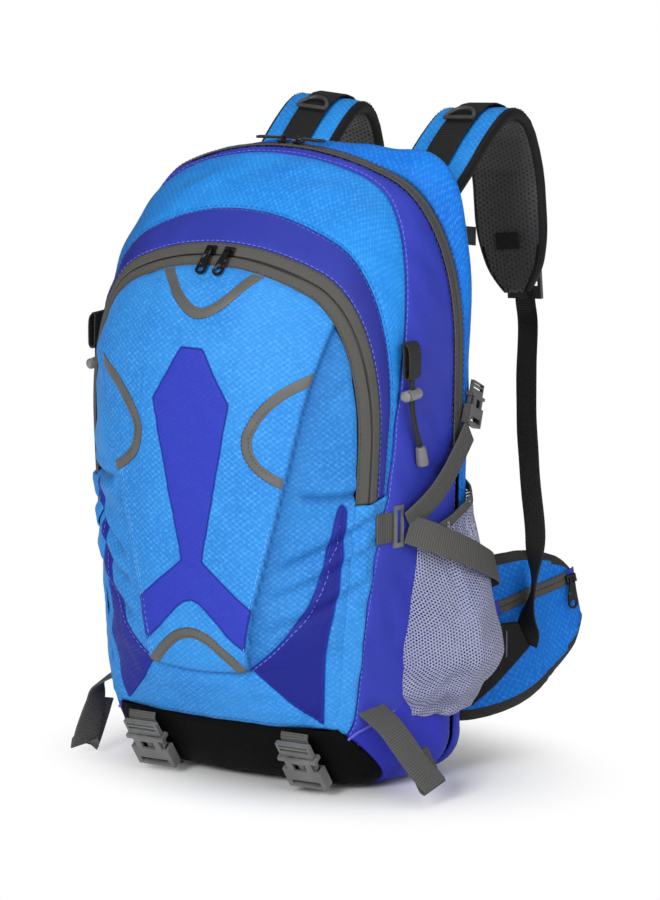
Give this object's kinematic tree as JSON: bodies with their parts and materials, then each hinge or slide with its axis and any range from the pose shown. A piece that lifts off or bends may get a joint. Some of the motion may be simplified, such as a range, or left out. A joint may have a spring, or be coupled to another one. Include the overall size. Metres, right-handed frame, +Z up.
{
  "type": "hiking daypack",
  "caption": "Upright hiking daypack with a zipped clamshell bag, arched front pocket, side mesh pockets, padded shoulder straps, hip belt and buckled straps.",
  "frame": {"origin": "on the floor under the bag, on its plane of symmetry, below the middle of the flat base", "axes": "+Z up, +Y towards the wearer's back, so the front pocket faces -Y, +X to the right of a viewer who faces the front"},
  "size_m": [0.3848, 0.3852, 0.5301],
  "materials": {
    "sky_fabric": "light blue ripstop weave",
    "royal_fabric": "royal blue plain weave",
    "lining": "grey lining cloth",
    "black_fabric": "black pack cloth",
    "coated_base": "heavy rubber-coated black cloth",
    "pad_mesh": "black spacer mesh over foam",
    "side_mesh": "open grey-lilac net",
    "zip_tape": "woven grey tape",
    "webbing_grey": "ribbed grey webbing",
    "webbing_black": "ribbed black webbing",
    "cord": "braided elastic cord",
    "frame_plastic": "plain sheet",
    "buckle_plastic": "satin moulded",
    "zip_metal": "dark enamel"
  },
  "bodies": {
    "pack": {"back_panel": "black_fabric", "back_pads": "pad_mesh", "frame_sheet": "frame_plastic", "back_gusset": "sky_fabric", "base_panel": "coated_base", "inner_sleeve": "lining", "rear_zip_tape": "zip_tape", "mesh_pockets": "side_mesh", "compression_straps": "webbing_grey", "compression_buckles": "buckle_plastic", "haul_loop": "webbing_black", "strap_anchors": "black_fabric", "lower_webbing": "webbing_black", "base_straps": "webbing_grey", "base_sockets": "buckle_plastic", "base_tabs": "webbing_grey"},
    "front_shell": {"main_gusset": "royal_fabric", "front_band": "sky_fabric", "pocket_gusset": "royal_fabric", "lower_front": "sky_fabric", "pocket_divider": "lining", "front_zip_tape": "zip_tape", "pocket_zip_tape": "zip_tape", "pole_loops": "webbing_grey", "pole_tabs": "webbing_grey", "strap_tabs": "webbing_grey", "strap_rings": "buckle_plastic", "pole_cords": "cord", "cord_ends": "buckle_plastic", "cord_locks": "buckle_plastic"},
    "flap": {"pocket_flap": "sky_fabric", "flap_zip_tape": "zip_tape"},
    "harness": {"shoulder_pads": "pad_mesh", "shoulder_webbing": "webbing_grey", "ladder_locks": "buckle_plastic", "sternum_straps": "webbing_grey", "sternum_socket": "buckle_plastic"},
    "sternum_plug": {"sternum_plug": "buckle_plastic"},
    "hip_left": {"hip_wing_left": "sky_fabric", "hip_webbing_left": "webbing_black", "hip_socket": "buckle_plastic"},
    "hip_right": {"hip_wing_right": "sky_fabric", "hip_webbing_right": "webbing_black", "hip_plug": "buckle_plastic"},
    "cord_button_left": {"cord_button_left": "buckle_plastic"},
    "cord_button_right": {"cord_button_right": "buckle_plastic"},
    "base_plug_left": {"base_plug_left": "buckle_plastic"},
    "base_plug_right": {"base_plug_right": "buckle_plastic"},
    "main_slider_left": {"main_slider_left": "zip_metal"},
    "main_slider_right": {"main_slider_right": "zip_metal"},
    "main_pull_left": {"main_pull_left": "zip_metal"},
    "main_pull_right": {"main_pull_right": "zip_metal"},
    "pocket_slider_left": {"pocket_slider_left": "zip_metal"},
    "pocket_slider_right": {"pocket_slider_right": "zip_metal"},
    "pocket_pull_left": {"pocket_pull_left": "zip_metal"},
    "pocket_pull_right": {"pocket_pull_right": "zip_metal"},
    "d_ring_left": {"d_ring_left": "buckle_plastic"},
    "d_ring_right": {"d_ring_right": "buckle_plastic"},
    "hip_slider_left": {"hip_slider_left": "zip_metal"},
    "hip_slider_right": {"hip_slider_right": "zip_metal"}
  },
  "joints": [
    {"name": "front_shell_open", "type": "hinge", "parent": "pack", "child": "front_shell", "pos_m": [0, -0.08, 0.054], "axis": [1, 0, 0], "range_deg": [0, 14], "deforming": ["compression_straps"]},
    {"name": "main_slider_right_run", "type": "hinge", "parent": "pack", "child": "main_slider_right", "pos_m": [0, 0.097, 0.29948], "axis": [0, 0.9565, 0.2918], "range_deg": [0, 24.05]},
    {"name": "main_slider_left_run", "type": "hinge", "parent": "pack", "child": "main_slider_left", "pos_m": [0, 0.097, 0.29948], "axis": [0, 0.9565, 0.2918], "range_deg": [-24.05, 0]},
    {"name": "main_pull_right_flip", "type": "hinge", "parent": "main_slider_right", "child": "main_pull_right", "pos_m": [0.00685, 0.0368, 0.5111], "axis": [0, -1, 0], "range_deg": [0, 150]},
    {"name": "main_pull_left_flip", "type": "hinge", "parent": "main_slider_left", "child": "main_pull_left", "pos_m": [-0.00685, 0.0368, 0.5111], "axis": [0, 1, 0], "range_deg": [0, 150]},
    {"name": "flap_open", "type": "hinge", "parent": "front_shell", "child": "flap", "pos_m": [0, -0.1125, 0.23972], "axis": [1, 0, 0], "range_deg": [0, 70]},
    {"name": "pocket_slider_right_run", "type": "hinge", "parent": "front_shell", "child": "pocket_slider_right", "pos_m": [0, -0.00954, 0.25286], "axis": [0, 0.9448, 0.3278], "range_deg": [0, 22.05]},
    {"name": "pocket_slider_left_run", "type": "hinge", "parent": "front_shell", "child": "pocket_slider_left", "pos_m": [0, -0.00954, 0.25286], "axis": [0, 0.9448, 0.3278], "range_deg": [-22.05, 0]},
    {"name": "pocket_pull_right_flip", "type": "hinge", "parent": "pocket_slider_right", "child": "pocket_pull_right", "pos_m": [0.00854, -0.07321, 0.4353], "axis": [-0.9991, 0, 0.0419], "range_deg": [0, 150]},
    {"name": "pocket_pull_left_flip", "type": "hinge", "parent": "pocket_slider_left", "child": "pocket_pull_left", "pos_m": [-0.00854, -0.07321, 0.4353], "axis": [-0.9991, 0, -0.0419], "range_deg": [0, 150]},
    {"name": "harness_swing", "type": "hinge", "parent": "pack", "child": "harness", "pos_m": [0, 0.098, 0.43], "axis": [1, 0, 0], "range_deg": [-8, 12], "deforming": ["lower_webbing"]},
    {"name": "d_ring_right_flip", "type": "hinge", "parent": "harness", "child": "d_ring_right", "pos_m": [0.07069, 0.18681, 0.51606], "axis": [0.9982, 0, 0.0599], "range_deg": [0, 150]},
    {"name": "d_ring_left_flip", "type": "hinge", "parent": "harness", "child": "d_ring_left", "pos_m": [-0.07069, 0.18681, 0.51606], "axis": [0.9982, 0, -0.0599], "range_deg": [0, 150]},
    {"name": "sternum_release", "type": "slide", "parent": "harness", "child": "sternum_plug", "axis": [-1, 0, 0], "range_m": [0, 0.02], "deforming": ["sternum_straps"]},
    {"name": "hip_right_swing", "type": "hinge", "parent": "pack", "child": "hip_right", "pos_m": [0.092, 0.102, 0.108], "axis": [0, 0, 1], "range_deg": [0, 40]},
    {"name": "hip_left_swing", "type": "hinge", "parent": "pack", "child": "hip_left", "pos_m": [-0.092, 0.102, 0.108], "axis": [0, 0, -1], "range_deg": [0, 40]},
    {"name": "hip_slider_right_run", "type": "slide", "parent": "hip_right", "child": "hip_slider_right", "axis": [-0.4435, -0.8562, -0.2649], "range_m": [0, 0.016]},
    {"name": "hip_slider_left_run", "type": "slide", "parent": "hip_left", "child": "hip_slider_left", "axis": [0.4435, -0.8562, -0.2649], "range_m": [0, 0.016]},
    {"name": "cord_button_right_press", "type": "slide", "parent": "front_shell", "child": "cord_button_right", "axis": [0, 1, 0], "range_m": [0, 0.0035], "stiffness_N_per_m": 250, "springref_m": -0.001},
    {"name": "cord_button_left_press", "type": "slide", "parent": "front_shell", "child": "cord_button_left", "axis": [0, 1, 0], "range_m": [0, 0.0035], "stiffness_N_per_m": 250, "springref_m": -0.001},
    {"name": "base_plug_right_release", "type": "slide", "parent": "pack", "child": "base_plug_right", "axis": [0, -0.6, 0.8], "range_m": [0, 0.022], "deforming": ["base_tabs"]},
    {"name": "base_plug_left_release", "type": "slide", "parent": "pack", "child": "base_plug_left", "axis": [0, -0.6, 0.8], "range_m": [0, 0.022], "deforming": ["base_tabs"]}
  ],
  "couplings": [
    {"joint": "main_slider_right_run", "follows": "front_shell_open", "ratio": 1.7143},
    {"joint": "main_slider_left_run", "follows": "front_shell_open", "ratio": -1.7143},
    {"joint": "pocket_slider_right_run", "follows": "flap_open", "ratio": 0.31429},
    {"joint": "pocket_slider_left_run", "follows": "flap_open", "ratio": -0.31429}
  ]
}
